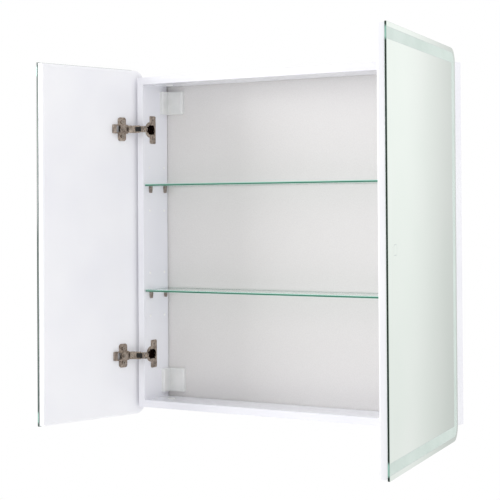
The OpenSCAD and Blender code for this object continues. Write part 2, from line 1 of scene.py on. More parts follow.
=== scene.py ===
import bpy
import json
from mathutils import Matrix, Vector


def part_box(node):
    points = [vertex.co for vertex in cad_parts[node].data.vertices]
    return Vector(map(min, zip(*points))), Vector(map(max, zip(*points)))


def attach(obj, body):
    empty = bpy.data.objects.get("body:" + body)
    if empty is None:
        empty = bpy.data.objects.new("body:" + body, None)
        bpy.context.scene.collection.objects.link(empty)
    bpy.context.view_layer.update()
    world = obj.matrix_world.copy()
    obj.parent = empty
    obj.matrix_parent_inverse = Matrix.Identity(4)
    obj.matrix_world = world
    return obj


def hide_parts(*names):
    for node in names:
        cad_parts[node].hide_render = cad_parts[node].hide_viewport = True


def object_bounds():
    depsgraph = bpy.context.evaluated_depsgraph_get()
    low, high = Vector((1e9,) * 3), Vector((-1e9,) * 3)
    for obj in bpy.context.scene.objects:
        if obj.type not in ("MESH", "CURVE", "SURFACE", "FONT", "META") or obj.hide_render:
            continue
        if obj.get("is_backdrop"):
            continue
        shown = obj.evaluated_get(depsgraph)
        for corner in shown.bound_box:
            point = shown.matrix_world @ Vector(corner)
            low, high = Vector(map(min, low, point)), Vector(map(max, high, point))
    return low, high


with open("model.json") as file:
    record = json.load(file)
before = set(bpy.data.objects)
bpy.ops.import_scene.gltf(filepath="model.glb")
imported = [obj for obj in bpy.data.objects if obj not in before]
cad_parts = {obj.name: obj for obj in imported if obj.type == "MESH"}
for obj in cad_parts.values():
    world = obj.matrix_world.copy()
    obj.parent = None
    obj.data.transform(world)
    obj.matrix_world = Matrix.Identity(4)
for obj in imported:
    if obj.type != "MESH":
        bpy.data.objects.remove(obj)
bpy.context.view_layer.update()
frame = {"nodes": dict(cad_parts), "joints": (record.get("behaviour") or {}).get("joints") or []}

import json
import logging
import math
from dataclasses import dataclass, field, replace
from enum import Enum
from functools import partial
from typing import Sequence

import bmesh
import bpy
from mathutils import Matrix, Vector

log = logging.getLogger("mirror_cabinet")

MM = 0.001
NOWHERE = 9.0  # metres out, farther than any piece reaches
WELD = 0.001 * MM
FLAT_ANGLE = math.radians(1)
SHARP_ANGLE = math.radians(40)
Colour = tuple[float, float, float]
Axes = tuple[float, float, float]
Loop = list[bmesh.types.BMVert]


def linear(code: str) -> Colour:
    """Turns a hexadecimal display colour into linear values.

    Args:
        code: Six hexadecimal digits.

    Returns:
        Linear red, green and blue.
    """
    values = [int(code[i:i + 2], 16) / 255 for i in (0, 2, 4)]
    return tuple(v / 12.92 if v <= 0.04045 else ((v + 0.055) / 1.055) ** 2.4 for v in values)


class Side(Enum):
    """The two sides of the cabinet, with the direction of X that points away from its middle."""

    LEFT = -1
    RIGHT = 1

    @property
    def word(self) -> str:
        """The side's name as the nodes spell it."""
        return self.name.lower()


# ---------------------------------------------------------------- material nodes


class NodeSheet:
    """A material whose shader nodes are laid down one after another."""

    def __init__(self, name: str) -> None:
        """Starts a material with one principled shader.

        Args:
            name: The material's name.
        """
        self.material = bpy.data.materials.new(name)
        self.material.use_nodes = True
        self.tree = self.material.node_tree
        self.shader = self.tree.nodes["Principled BSDF"]
        self.output = self.tree.nodes["Material Output"]

    def add(self, kind: str, **settings: object) -> bpy.types.Node:
        """Adds a node and sets its properties.

        Args:
            kind: The node's type without the ShaderNode prefix.
            settings: Properties of the node.

        Returns:
            The new node.
        """
        node = self.tree.nodes.new("ShaderNode" + kind)
        for name, value in settings.items():
            setattr(node, name, value)
        return node

    def link(self, source: bpy.types.NodeSocket, target: bpy.types.NodeSocket) -> None:
        """Joins two sockets."""
        self.tree.links.new(source, target)

    def fix(self, **values: object) -> None:
        """Sets sockets of the shader that are the same all over the surface.

        Args:
            values: Socket names, with underscores for spaces, and their values.
        """
        for name, value in values.items():
            socket = self.shader.inputs[name.replace("_", " ")]
            is_colour = isinstance(value, tuple) and len(value) == 3
            socket.default_value = (*value, 1.0) if is_colour and socket.type == "RGBA" else value

    def place(self, stretch: Axes = (1, 1, 1)) -> bpy.types.NodeSocket:
        """Gives the point on the piece, in its own metres.

        Args:
            stretch: Scale along each axis.

        Returns:
            The vector socket.
        """
        spot = self.add("TexCoord").outputs["Object"]
        if stretch == (1, 1, 1):
            return spot
        mapping = self.add("Mapping")
        mapping.inputs["Scale"].default_value = stretch
        self.link(spot, mapping.inputs["Vector"])
        return mapping.outputs["Vector"]

    def noise(self, scale: float, detail: float = 3.0, stretch: Axes = (1, 1, 1)) -> bpy.types.NodeSocket:
        """Lays noise over the piece.

        Args:
            scale: Features per metre.
            detail: Octaves of finer noise.
            stretch: Scale along each axis.

        Returns:
            The noise value's socket.
        """
        node = self.add("TexNoise")
        node.inputs["Scale"].default_value = scale
        node.inputs["Detail"].default_value = detail
        self.link(self.place(stretch), node.inputs["Vector"])
        return node.outputs["Fac"]

    def ramp(self, source: bpy.types.NodeSocket,
             stops: Sequence[tuple[float, Colour]]) -> bpy.types.NodeSocket:
        """Turns a value into a colour.

        Args:
            source: The value's socket.
            stops: Positions from 0 to 1 with their colours.

        Returns:
            The colour's socket.
        """
        node = self.add("ValToRGB")
        marks = node.color_ramp.elements
        while len(marks) < len(stops):
            marks.new(0.5)
        for mark, (position, colour) in zip(marks, stops):
            mark.position = position
            mark.color = (*colour, 1.0)
        self.link(source, node.inputs["Fac"])
        return node.outputs["Color"]

    def span(self, source: bpy.types.NodeSocket, low: float, high: float,
             start: float = 0.0, end: float = 1.0) -> bpy.types.NodeSocket:
        """Maps a value from one range to another.

        Args:
            source: The value's socket.
            low: Result at the start.
            high: Result at the end.
            start: Lowest value that comes in.
            end: Highest value that comes in.

        Returns:
            The result's socket.
        """
        node = self.add("MapRange")
        for name, value in (("From Min", start), ("From Max", end), ("To Min", low), ("To Max", high)):
            node.inputs[name].default_value = value
        self.link(source, node.inputs["Value"])
        return node.outputs["Result"]

    def axis(self, name: str) -> bpy.types.NodeSocket:
        """The X, Y or Z place on the piece."""
        parts = self.add("SeparateXYZ")
        self.link(self.place(), parts.inputs["Vector"])
        return parts.outputs[name]

    def edge_map(self, name: str) -> bpy.types.NodeSocket:
        """The X or Y value of the piece's own edge map: place across an edge, and height."""
        parts = self.add("SeparateXYZ")
        self.link(self.add("UVMap", uv_map="edge").outputs["UV"], parts.inputs["Vector"])
        return parts.outputs[name]

    def colour(self, source: bpy.types.NodeSocket) -> None:
        """Sends a colour to the shader's base colour."""
        self.link(source, self.shader.inputs["Base Color"])

    def gloss(self, source: bpy.types.NodeSocket) -> None:
        """Sends a value to the shader's roughness."""
        self.link(source, self.shader.inputs["Roughness"])

    def relief(self, source: bpy.types.NodeSocket, depth: float, strength: float = 1.0) -> None:
        """Raises the surface by a value.

        Args:
            source: The height's socket.
            depth: Height of a full step, in metres.
            strength: Share of the relief that shows.
        """
        bump = self.add("Bump")
        bump.inputs["Distance"].default_value = depth
        bump.inputs["Strength"].default_value = strength
        self.link(source, bump.inputs["Height"])
        self.link(bump.outputs["Normal"], self.shader.inputs["Normal"])


# ---------------------------------------------------------------- finishes


@dataclass(frozen=True)
class Lacquer:
    """Sprayed gloss lacquer with a faint orange peel."""

    name: str
    light: str = "f4f4f8"
    dark: str = "ebebf1"
    rough_low: float = 0.16
    rough_high: float = 0.24

    def make(self) -> bpy.types.Material:
        """Builds the material."""
        sheet = NodeSheet(self.name)
        sheet.fix(IOR=1.5)
        broad = sheet.noise(5.0, 2.0)
        sheet.colour(sheet.ramp(broad, [(0.35, linear(self.dark)), (0.65, linear(self.light))]))
        sheet.gloss(sheet.span(sheet.noise(60.0), self.rough_low, self.rough_high, 0.3, 0.7))
        sheet.relief(sheet.noise(700.0, 1.0), 0.00002, 0.25)
        return sheet.material


@dataclass(frozen=True)
class BackFoil:
    """Satin foil on thin hardboard, with a fine pebbled grain."""

    name: str
    light: str = "e6e4e3"
    dark: str = "dedcdb"

    def make(self) -> bpy.types.Material:
        """Builds the material."""
        sheet = NodeSheet(self.name)
        sheet.fix(IOR=1.45)
        fibre = sheet.noise(900.0, 2.0, (1.0, 1.0, 0.5))
        sheet.colour(sheet.ramp(fibre, [(0.3, linear(self.dark)), (0.7, linear(self.light))]))
        sheet.gloss(sheet.span(sheet.noise(40.0), 0.38, 0.5, 0.3, 0.7))
        sheet.relief(sheet.noise(1400.0, 2.0, (1.0, 1.0, 0.5)), 0.00003, 0.3)
        return sheet.material


@dataclass(frozen=True)
class PlatedSteel:
    """Plated pressed steel with fine drawing lines and dull patches."""

    name: str
    light: str
    dark: str
    rough_low: float = 0.22
    rough_high: float = 0.4
    # colour of the painted shade where the part is sunk in a recess
    grease: str = "4a3a30"
    hollow_from: float = NOWHERE
    hollow_fade: float = 3 * MM

    def make(self) -> bpy.types.Material:
        """Builds the material, with painted shade darkening it further out than hollow_from, where the part
        sits in a recess.
        """
        sheet = NodeSheet(self.name)
        sheet.fix(Metallic=1.0)
        patches = sheet.noise(140.0, 4.0)
        plated = sheet.ramp(patches, [(0.3, linear(self.dark)), (0.7, linear(self.light))])
        # painted shade: further out from the middle than hollow_from, the colour fades to the dark shade
        # colour
        out = sheet.add("Math", operation="ABSOLUTE")
        sheet.link(sheet.axis("X"), out.inputs[0])
        shaded = sheet.add("MixRGB")
        deep = self.hollow_from + self.hollow_fade
        sheet.link(sheet.span(out.outputs[0], 0.0, 1.0, self.hollow_from, deep), shaded.inputs["Fac"])
        sheet.link(plated, shaded.inputs["Color1"])
        shaded.inputs["Color2"].default_value = (*linear(self.grease), 1.0)
        sheet.colour(shaded.outputs["Color"])
        sheet.gloss(sheet.span(sheet.noise(300.0), self.rough_low, self.rough_high, 0.3, 0.7))
        sheet.relief(sheet.noise(900.0, 2.0, (1.0, 1.0, 0.12)), 0.00002, 0.3)
        return sheet.material


@dataclass(frozen=True)
class ZincSteel:
    """Zinc-plated steel with its faint crystal pattern."""

    name: str
    light: str = "c4c7cb"
    dark: str = "a3a6ab"

    def make(self) -> bpy.types.Material:
        """Builds the material."""
        sheet = NodeSheet(self.name)
        sheet.fix(Metallic=1.0)
        cells = sheet.add("TexVoronoi")
        cells.inputs["Scale"].default_value = 420.0
        sheet.link(sheet.place(), cells.inputs["Vector"])
        tones = [(0.1, linear(self.dark)), (0.7, linear(self.light))]
        sheet.colour(sheet.ramp(cells.outputs["Distance"], tones))
        sheet.gloss(sheet.span(cells.outputs["Distance"], 0.28, 0.42))
        sheet.relief(sheet.noise(800.0), 0.00001, 0.3)
        return sheet.material


@dataclass(frozen=True)
class MouldedPlastic:
    """Injection-moulded plastic with a fine spark-eroded texture."""

    name: str
    light: str
    dark: str
    rough_low: float = 0.4
    rough_high: float = 0.55
    see_through: float = 0.0
    grain: float = 2200.0

    def make(self) -> bpy.types.Material:
        """Builds the material."""
        sheet = NodeSheet(self.name)
        sheet.fix(IOR=1.49, Transmission_Weight=self.see_through)
        broad = sheet.noise(30.0, 2.0)
        sheet.colour(sheet.ramp(broad, [(0.35, linear(self.dark)), (0.65, linear(self.light))]))
        sheet.gloss(sheet.span(sheet.noise(200.0), self.rough_low, self.rough_high, 0.3, 0.7))
        sheet.relief(sheet.noise(self.grain, 2.0), 0.00003, 0.3)
        return sheet.material


@dataclass(frozen=True)
class RawBeech:
    """Raw beech of the dowels, with its long grain along X."""

    name: str
    light: str = "d9bb8e"
    dark: str = "b8935f"

    def make(self) -> bpy.types.Material:
        """Builds the material."""
        sheet = NodeSheet(self.name)
        grain = sheet.noise(500.0, 5.0, (0.05, 1.0, 1.0))
        sheet.colour(sheet.ramp(grain, [(0.3, linear(self.dark)), (0.7, linear(self.light))]))
        sheet.gloss(sheet.span(grain, 0.6, 0.8))
        sheet.relief(grain, 0.0001, 0.4)
        return sheet.material


@dataclass(frozen=True)
class Silvering:
    """Silvered face of the mirror seen through its faintly green glass."""

    name: str
    light: str = "f0f7f1"
    dark: str = "eaf4ec"

    def make(self) -> bpy.types.Material:
        """Builds the material."""
        sheet = NodeSheet(self.name)
        sheet.fix(Metallic=1.0)
        haze = sheet.noise(4.0, 2.0)
        sheet.colour(sheet.ramp(haze, [(0.3, linear(self.dark)), (0.7, linear(self.light))]))
        sheet.gloss(sheet.span(haze, 0.015, 0.03, 0.3, 0.7))
        return sheet.material


@dataclass(frozen=True)
class FrostedGlass:
    """Sand-blasted glass with opal acrylic behind it."""

    name: str
    light: str = "d8e5df"
    dark: str = "cddcd5"

    def make(self) -> bpy.types.Material:
        """Builds the material."""
        sheet = NodeSheet(self.name)
        sheet.fix(IOR=1.5)
        broad = sheet.noise(12.0, 2.0)
        sheet.colour(sheet.ramp(broad, [(0.3, linear(self.dark)), (0.7, linear(self.light))]))
        sheet.gloss(sheet.span(sheet.noise(400.0), 0.45, 0.6, 0.3, 0.7))
        sheet.relief(sheet.noise(3000.0, 1.0), 0.00002, 0.3)
        return sheet.material


@dataclass(frozen=True)
class GlassEdge:
    """Ground edge of green float glass, dark inside and lighter at its borders.

    The edge map gives the place across the edge, from 0 to 1, and the height in metres.
    """

    name: str
    stops: tuple[tuple[float, str], ...] = ((0.0, "3a5a4e"), (0.12, "16352a"), (0.4, "081a13"),
                                            (0.7, "081a13"), (0.88, "16352a"), (1.0, "3a5a4e"))
    lit: str = "8cb5a8"
    lit_from: float = NOWHERE
    lit_to: float = NOWHERE
    fade_in: float = 4 * MM
    fade_over: float = 2 * MM
    fade_out: float = 3 * MM

    def make(self) -> bpy.types.Material:
        """Builds the material."""
        sheet = NodeSheet(self.name)
        sheet.fix(IOR=1.52)
        across = sheet.ramp(sheet.edge_map("X"), [(at, linear(code)) for at, code in self.stops])
        height = sheet.add("Math", operation="ABSOLUTE")
        sheet.link(sheet.edge_map("Y"), height.inputs[0])
        rise = sheet.span(height.outputs[0], 0.0, 1.0, self.lit_from - self.fade_in,
                          self.lit_from + self.fade_over)
        fall = sheet.span(height.outputs[0], 1.0, 0.0, self.lit_to - self.fade_over,
                          self.lit_to + self.fade_out)
        share = sheet.add("Math", operation="MULTIPLY")
        sheet.link(rise, share.inputs[0])
        sheet.link(fall, share.inputs[1])
        mix = sheet.add("MixRGB")
        sheet.link(share.outputs[0], mix.inputs["Fac"])
        sheet.link(across, mix.inputs["Color1"])
        mix.inputs["Color2"].default_value = (*linear(self.lit), 1.0)
        sheet.colour(mix.outputs["Color"])
        sheet.gloss(sheet.span(sheet.noise(500.0), 0.08, 0.2, 0.3, 0.7))
        return sheet.material


@dataclass(frozen=True)
class ClearGlass:
    """Clear float glass with its green body tint, which lets the room's light through."""

    name: str
    tint: str = "dff3ea"
    passed: Colour = (0.94, 0.96, 0.95)

    def make(self) -> bpy.types.Material:
        """Builds the material."""
        sheet = NodeSheet(self.name)
        sheet.fix(IOR=1.52, Transmission_Weight=1.0)
        haze = sheet.noise(8.0, 2.0)
        sheet.colour(sheet.ramp(haze, [(0.3, linear(self.tint)), (0.7, linear("e6f7ef"))]))
        sheet.gloss(sheet.span(haze, 0.0, 0.01, 0.3, 0.7))
        clear = sheet.add("BsdfTransparent")
        clear.inputs["Color"].default_value = (*self.passed, 1.0)
        rays = sheet.add("LightPath")
        light = sheet.add("Math", operation="MAXIMUM")
        sheet.link(rays.outputs["Is Shadow Ray"], light.inputs[0])
        sheet.link(rays.outputs["Is Diffuse Ray"], light.inputs[1])
        mix = sheet.add("MixShader")
        sheet.link(light.outputs[0], mix.inputs[0])
        sheet.link(sheet.shader.outputs[0], mix.inputs[1])
        sheet.link(clear.outputs[0], mix.inputs[2])
        sheet.link(mix.outputs[0], sheet.output.inputs["Surface"])
        return sheet.material


# ---------------------------------------------------------------- meshes


@dataclass
class Draft:
    """A mesh under construction, in metres at rest, with an edge map."""

    bm: bmesh.types.BMesh = field(default_factory=bmesh.new)

    def loop(self, points: Sequence[Vector]) -> Loop:
        """Adds a closed loop of points and its edges.

        Args:
            points: The loop's corners in order.

        Returns:
            Its vertices.
        """
        verts = [self.bm.verts.new(p) for p in points]
        for a, b in zip(verts, verts[1:] + verts[:1]):
            self.bm.edges.new((a, b))
        return verts

    def wall(self, low: Loop, high: Loop, finish: int) -> None:
        """Joins two loops of the same length with a ring of faces.

        Args:
            low: First loop.
            high: Second loop.
            finish: Material slot of the faces.
        """
        count = len(low)
        for i in range(count):
            j = (i + 1) % count
            face = self.bm.faces.new((low[i], low[j], high[j], high[i]))
            face.material_index = finish

    def fill(self, loops: Sequence[Loop], finish: int) -> None:
        """Fills the flat area between loops.

        Args:
            loops: The area's outline, and the outlines of its holes.
            finish: Material slot of the faces.
        """
        edges = [self.bm.edges.get((a, b)) for ring in loops for a, b in zip(ring, ring[1:] + ring[:1])]
        made = bmesh.ops.triangle_fill(self.bm, use_beauty=True, use_dissolve=False, edges=edges)
        for item in made["geom"]:
            if isinstance(item, bmesh.types.BMFace):
                item.material_index = finish

    def finish(self, name: str, materials: Sequence[bpy.types.Material]) -> bpy.types.Object:
        """Closes the mesh and makes it an object.

        Args:
            name: The piece's name.
            materials: Its materials, in slot order.

        Returns:
            The object.
        """
        bmesh.ops.recalc_face_normals(self.bm, faces=self.bm.faces)
        mesh = bpy.data.meshes.new(name)
        self.bm.to_mesh(mesh)
        self.bm.free()
        for material in materials:
            mesh.materials.append(material)
        piece = bpy.data.objects.new(name, mesh)
        bpy.context.scene.collection.objects.link(piece)
        return piece


def rounded_path(low: Vector, high: Vector, radii: Sequence[float], steps: int = 12) -> list[Vector]:
    """Walks round a rectangle with rounded corners.

    Args:
        low: Lowest corner of the rectangle.
        high: Highest corner of the rectangle.
        radii: Corner radii, from the lowest corner counter-clockwise.
        steps: Points on each corner, less one.

    Returns:
        Points in order.
    """
    corners = [(low.x, low.y, 1, 1, 180), (high.x, low.y, -1, 1, 270),
               (high.x, high.y, -1, -1, 0), (low.x, high.y, 1, -1, 90)]
    points = []
    for (x, y, in_x, in_y, start), radius in zip(corners, radii):
        centre = Vector((x + in_x * radius, y + in_y * radius))
        for i in range(steps + 1):
            angle = math.radians(start + 90 * i / steps)
            points.append(centre + radius * Vector((math.cos(angle), math.sin(angle))))
    return points


def eased_copy(node: str, name: str, width: float, material: bpy.types.Material) -> bpy.types.Object:
    """Copies a solid with all its sharp edges slightly rounded.

    Args:
        node: The solid's name.
        name: The new piece's name.
        width: Size of the rounding, in metres.
        material: Its finish.

    Returns:
        The new piece.
    """
    bm = bmesh.new()
    bm.from_mesh(frame["nodes"][node].data)
    bmesh.ops.remove_doubles(bm, verts=bm.verts, dist=WELD)
    bmesh.ops.dissolve_limit(bm, angle_limit=FLAT_ANGLE, verts=bm.verts, edges=bm.edges)
    bmesh.ops.recalc_face_normals(bm, faces=bm.faces)
    for face in bm.faces:
        face.smooth = True
        face.material_index = 0
    mesh = bpy.data.meshes.new(name)
    bm.to_mesh(mesh)
    bm.free()
    for layer in ("custom_normal", "sharp_edge", "sharp_face"):
        if layer in mesh.attributes:
            mesh.attributes.remove(mesh.attributes[layer])
    piece = bpy.data.objects.new(name, mesh)
    bpy.context.scene.collection.objects.link(piece)
    bevel = piece.modifiers.new("eased", "BEVEL")
    bevel.width = width
    bevel.segments = 2
    bevel.limit_method = "ANGLE"
    bevel.angle_limit = SHARP_ANGLE
    bevel.harden_normals = True
    bpy.context.view_layer.update()
    solid = piece.evaluated_get(bpy.context.evaluated_depsgraph_get())
    piece.data = bpy.data.meshes.new_from_object(solid)
    piece.modifiers.clear()
    piece.data.materials.clear()
    piece.data.materials.append(material)
    return piece


# ---------------------------------------------------------------- pieces


@dataclass
class FinishStore:
    """Every finish of the cabinet, made once."""

    made: dict[str, bpy.types.Material] = field(default_factory=dict)

    def get(self, finish: object) -> bpy.types.Material:
        """Makes a finish at its first use.

        Args:
            finish: One of the finish classes.

        Returns:
            Its material.
        """
        if finish.name not in self.made:
            self.made[finish.name] = finish.make()
        return self.made[finish.name]


def dress(node: str, material: bpy.types.Material) -> None:
    """Gives a solid its finish.

    Args:
        node: The solid's name.
        material: The finish.
    """
    slots = frame["nodes"][node].material_slots
    for slot in slots:
        slot.material = material
    log.info("%s dressed in %s", node, material.name)


@dataclass
class DoorPlace:
    """Door measures: from the hinge side, from the mirror's face inwards, and up."""

    side: Side

    def __post_init__(self) -> None:
        """Reads the hinge from the frame and measures the shut mirror."""
        joint = next(j for j in frame["joints"] if j["name"] == f"{self.side.word}_door_hinge")
        pivot = Vector(joint["pos_m"])
        shut_by = math.radians(joint["range_deg"][0])
        turn = Matrix.Rotation(shut_by, 4, Vector(joint["axis"]))
        self.shut = Matrix.Translation(pivot) @ turn @ Matrix.Translation(-pivot)
        self.open = self.shut.inverted()
        low, high = self.shut_box(f"{self.side.word}_mirror")
        self.width = high.x - low.x
        self.height = high.z - low.z
        self.middle = (high.z + low.z) / 2
        self.thickness = high.y - low.y
        self.face = low.y
        self.edge = high.x if self.side is Side.RIGHT else low.x

    def shut_box(self, node: str) -> tuple[Vector, Vector]:
        """Measures one of the door's solids with the door shut.

        Args:
            node: The solid's name.

        Returns:
            Its lowest and highest corners.
        """
        spots = [self.shut @ v.co for v in frame["nodes"][node].data.vertices]
        return (Vector([min(p[i] for p in spots) for i in range(3)]),
                Vector([max(p[i] for p in spots) for i in range(3)]))

    def at(self, across: float, inwards: float, up: float) -> Vector:
        """Finds a point of the open door.

        Args:
            across: Distance from the hinge side of the mirror.
            inwards: Distance from the mirror's face towards the cabinet.
            up: Height above the door's middle.

        Returns:
            The point at rest.
        """
        x = self.edge - self.side.value * across
        return self.open @ Vector((x, self.face + inwards, self.middle + up))


@dataclass
class MirrorGlass:
    """The mirror of one door, with its frosted band, ground arris and touch mark."""

    place: DoorPlace
    finishes: FinishStore
    corner: float = 30 * MM
    free_corner: float = 1.2 * MM
    arris: float = 0.3 * MM
    band_in: float = 10 * MM
    band_wide: float = 20 * MM
    band_short: float = 1.2 * MM
    band_corner: float = 2 * MM
    lit_spill: float = 1 * MM
    rim: float = 0.9 * MM
    mark_in: float = 46 * MM
    mark_size: float = 20 * MM
    mark_line: float = 1.1 * MM
    mark_corner: float = 4 * MM

    def outline(self, inset: float, inwards: float) -> list[Vector]:
        """Walks round the glass.

        Args:
            inset: Distance inside the outline.
            inwards: Depth below the face.

        Returns:
            Points at rest.
        """
        half = self.place.height / 2
        radii = [self.corner - inset, self.free_corner, self.free_corner, self.corner - inset]
        low = Vector((inset, inset - half))
        high = Vector((self.place.width - inset, half - inset))
        path = rounded_path(low, high, radii)
        return [self.place.at(p.x, inwards, p.y) for p in path]

    def band_loop(self, grow: float) -> list[Vector]:
        """Walks round the C-shaped frosted band.

        Args:
            grow: Distance outside the band's own outline.

        Returns:
            Points at rest.
        """
        half = self.place.height / 2
        end = self.place.width - self.band_short + min(grow, 0.0)
        out_in = self.band_in - grow
        in_in = self.band_in + self.band_wide + grow
        steps = 12
        path = []
        for radius, inset, back in ((self.corner - out_in, out_in, False),
                                    (self.band_corner - grow, in_in, True)):
            high = half - inset
            arm = [Vector((end, high))]
            for start, z in ((90, high - radius), (180, radius - high)):
                for i in range(steps + 1):
                    angle = math.radians(start + 90 * i / steps)
                    bend = radius * Vector((math.cos(angle), math.sin(angle)))
                    arm.append(Vector((inset + radius, z)) + bend)
            arm.append(Vector((end, -high)))
            path += arm[::-1] if back else arm
        return [self.place.at(p.x, 0.0, p.y) for p in path]

    def mark_loop(self, inset: float) -> list[Vector]:
        """Walks round the touch mark's outline.

        Args:
            inset: Distance inside its outer line.

        Returns:
            Points at rest.
        """
        half = self.mark_size / 2 - inset
        centre = self.place.width - self.mark_in
        path = rounded_path(Vector((centre - half, -half)), Vector((centre + half, half)),
                            [self.mark_corner - inset] * 4, 6)
        return [self.place.at(p.x, 0.0, p.y) for p in path]

    def build(self) -> bpy.types.Object:
        """Builds the glass.

        Returns:
            The piece.
        """
        deep = self.place.thickness
        draft = Draft()
        rings = [draft.loop(self.outline(inset, inwards)) for inset, inwards in (
            (self.arris, 0.0), (0.0, self.arris), (0.0, deep - self.arris), (self.arris, deep))]
        draft.wall(rings[0], rings[1], 3)
        draft.wall(rings[1], rings[2], 2)
        draft.wall(rings[2], rings[3], 3)
        draft.fill([rings[3]], 4)
        rim_out = draft.loop(self.band_loop(self.rim))
        rim_in = draft.loop(self.band_loop(0.0))
        silver = [rings[0], rim_out]
        if self.place.side is Side.RIGHT:
            mark_out = draft.loop(self.mark_loop(0.0))
            mark_in = draft.loop(self.mark_loop(self.mark_line))
            silver.append(mark_out)
            draft.fill([mark_out, mark_in], 5)
            draft.fill([mark_in], 0)
        draft.fill(silver, 0)
        draft.fill([rim_out, rim_in], 5)
        draft.fill([rim_in], 1)
        self.map_edges(draft, deep)
        half = self.place.height / 2
        lit = GlassEdge("mirror_glass_edge", lit_from=half - self.band_in - self.band_wide,
                        lit_to=half - self.band_in + self.lit_spill)
        word = self.place.side.word
        piece = draft.finish(f"{word}_mirror_glass", [self.finishes.get(f) for f in (
            Silvering("silvered_face"), FrostedGlass("frosted_band"), lit,
            MouldedPlastic("glass_arris", "a9c0b6", "97b0a5", 0.15, 0.25),
            MouldedPlastic("mirror_back_paint", "8c9391", "7c8482", 0.5, 0.6),
            FrostedGlass("frosted_rim", "cfd9d6", "c3cfcb"))])
        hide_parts(f"{word}_mirror")
        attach(piece, f"{word}_door")
        log.info("%s built: %.0f x %.0f mm", piece.name, self.place.width / MM, self.place.height / MM)
        return piece

    def map_edges(self, draft: Draft, deep: float) -> None:
        """Writes the edge map: depth below the face as a share, and height.

        Args:
            draft: The mesh.
            deep: Thickness of the glass.
        """
        layer = draft.bm.loops.layers.uv.new("edge")
        for face in draft.bm.faces:
            for corner in face.loops:
                spot = self.place.shut @ corner.vert.co
                corner[layer].uv = ((spot.y - self.place.face) / deep, spot.z - self.place.middle)


@dataclass
class GlassShelf:
    """A glass shelf with ground edges."""

    word: str
    finishes: FinishStore
    arris: float = 0.5 * MM
    corner: float = 2 * MM

    def build(self) -> bpy.types.Object:
        """Builds the shelf.

        Returns:
            The piece.
        """
        node = f"{self.word}_glass_shelf"
        low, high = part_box(node)
        draft = Draft()
        rings = []
        for inset, z in ((self.arris, low.z), (0.0, low.z + self.arris),
                         (0.0, high.z - self.arris), (self.arris, high.z)):
            path = rounded_path(Vector((low.x + inset, low.y + inset)),
                                Vector((high.x - inset, high.y - inset)), [self.corner - inset] * 4, 4)
            rings.append(draft.loop([Vector((p.x, p.y, z)) for p in path]))
        draft.wall(rings[0], rings[1], 2)
        draft.wall(rings[1], rings[2], 1)
        draft.wall(rings[2], rings[3], 2)
        draft.fill([rings[0]], 0)
        draft.fill([rings[3]], 0)
        layer = draft.bm.loops.layers.uv.new("edge")
        for face in draft.bm.faces:
            for corner in face.loops:
                corner[layer].uv = ((corner.vert.co.z - low.z) / (high.z - low.z), 0.0)
        # painted light: the shelf's edge is coloured lighter towards its top than lower down, as light from
        # above falls on it
        edge = GlassEdge("shelf_glass_edge", ((0.0, "4f8f78"), (0.08, "2a6a54"), (0.6, "2f7059"),
                                              (0.72, "8fc8b4"), (0.9, "b9e0d2"), (1.0, "a8d4c4")))
        piece = draft.finish(f"{self.word}_shelf_glass", [self.finishes.get(f) for f in (
            ClearGlass("shelf_glass"), edge, MouldedPlastic("shelf_arris", "c9f0e4", "b5e6d8", 0.15, 0.25))])
        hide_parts(node)
        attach(piece, "cabinet")
        log.info("%s built", piece.name)
        return piece


@dataclass
class Carcass:
    """The lacquered box with its back, joint fittings and shelf supports."""

    finishes: FinishStore
    ease: float = 0.6 * MM

    def build(self) -> None:
        """Rounds the lacquered panels and dresses what is fixed to them."""
        lacquer = self.finishes.get(Lacquer("carcass_lacquer", "f6f6fb", "f0f0f7"))
        for word in ("left_side", "right_side", "top", "bottom"):
            piece = eased_copy(f"{word}_panel", f"{word}_lacquered_panel", self.ease, lacquer)
            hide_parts(f"{word}_panel")
            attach(piece, "cabinet")
            log.info("%s built", piece.name)
        dress("back_panel", self.finishes.get(BackFoil("back_foil")))
        beech = RawBeech("dowel_beech")
        zinc = ZincSteel("zinc_steel")
        white = MouldedPlastic("white_plastic", "f3f3f3", "ebebeb")
        plug = MouldedPlastic("plug_plastic", "ffffff", "fcfcfc", 0.1, 0.2)
        nickel = PlatedSteel("support_nickel", "b8ada3", "786d63")
        spacer = MouldedPlastic("spacer_grey", "c9cbcb", "bcbfbf")
        for node, finish in (("assembly_dowels", beech), ("cam_bolts", zinc), ("cam_housings", zinc),
                             ("cam_cover_caps", white), ("spare_hole_plugs", plug),
                             ("upper_shelf_supports", nickel), ("lower_shelf_supports", nickel),
                             ("wall_brackets", zinc), ("bracket_screws", zinc), ("wall_spacers", spacer)):
            dress(node, self.finishes.get(finish))


@dataclass
class CornerCovers:
    """The four ribbed covers over the wall brackets."""

    finishes: FinishStore

    def build(self) -> None:
        """Dresses the covers."""
        material = self.finishes.get(MouldedPlastic("cover_plastic", "f2f2f1", "e8e9e8", grain=1500.0))
        for row in ("upper", "lower"):
            for side in Side:
                dress(f"{row}_{side.word}_corner_cover", material)


@dataclass
class LightSupply:
    """The converter behind the back panel, its screws, gland and grommet."""

    finishes: FinishStore

    def build(self) -> None:
        """Dresses the supply."""
        rubber = MouldedPlastic("lead_rubber", "2b2b2c", "1f1f20", 0.55, 0.7)
        for node, finish in (("led_driver", MouldedPlastic("driver_case", "e6e7e6", "dcdddc")),
                             ("driver_screws", ZincSteel("zinc_steel")),
                             ("cable_gland", rubber), ("cable_grommet", rubber)):
            dress(node, self.finishes.get(finish))


